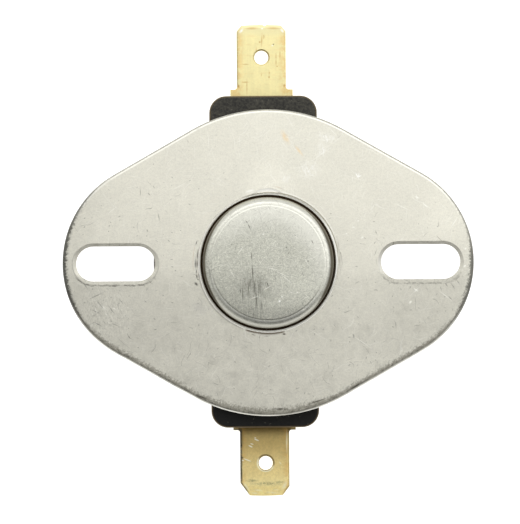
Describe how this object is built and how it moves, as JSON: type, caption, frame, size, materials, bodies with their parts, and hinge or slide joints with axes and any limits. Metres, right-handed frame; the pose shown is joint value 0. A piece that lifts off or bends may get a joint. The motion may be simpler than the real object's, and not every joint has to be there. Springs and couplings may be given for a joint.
{
  "type": "safety thermostat",
  "caption": "Bimetal safety thermostat with an oval slotted mounting flange, a round sensor cap in its middle and a flat tab terminal at each end of a black moulded switch body.",
  "frame": {"origin": "on the sensor cap's axis, in the plane of the flange's front face", "axes": "+Z out of the flange's front face, on the side of the sensor cap; +Y along the upper terminal; +X along the line of the slots"},
  "size_m": [0.0518, 0.0604, 0.0149],
  "materials": {
    "flange_aluminium": "satin sheet, scratched",
    "cap_aluminium": "satin drawn cup",
    "shell_steel": "plated sheet",
    "disc_steel": "rolled bimetal",
    "ceramic": "matte ceramic",
    "film": "clear amber film",
    "phenolic": "moulded, slightly grainy",
    "terminal_brass": "bright rolled strip",
    "spring_bronze": "rolled strip",
    "contact_silver": "polished",
    "rivet_brass": "turned"
  },
  "bodies": {
    "housing": {"mounting_flange": "flange_aluminium", "clamp_shell": "shell_steel", "sensor_cap": "cap_aluminium", "bimetal_disc": "disc_steel", "disc_seat": "ceramic", "insulating_film": "film", "switch_body": "phenolic", "arm_clamp_plate": "terminal_brass", "fixed_contact_plate": "terminal_brass", "fixed_contact": "contact_silver", "terminal_upper": "terminal_brass", "terminal_lower": "terminal_brass", "rivet_upper": "rivet_brass", "rivet_lower": "rivet_brass"},
    "pin": {"transfer_pin": "ceramic"},
    "arm": {"contact_arm": "spring_bronze", "moving_contact": "contact_silver"}
  },
  "joints": [
    {"name": "pin_slide", "type": "slide", "parent": "housing", "child": "pin", "axis": [0, 0, -1], "range_m": [0, 0.00065], "deforming": ["bimetal_disc"]},
    {"name": "arm_bend", "type": "hinge", "parent": "housing", "child": "arm", "pos_m": [-0.0005, 0.00764, -0.00626], "axis": [1, 0, 0], "range_deg": [0, 4.88], "stiffness_Nm_per_rad": 0.046, "deforming": ["contact_arm"]}
  ],
  "couplings": [
    {"joint": "arm_bend", "follows": "pin_slide", "rad_per_m": 130.89}
  ]
}
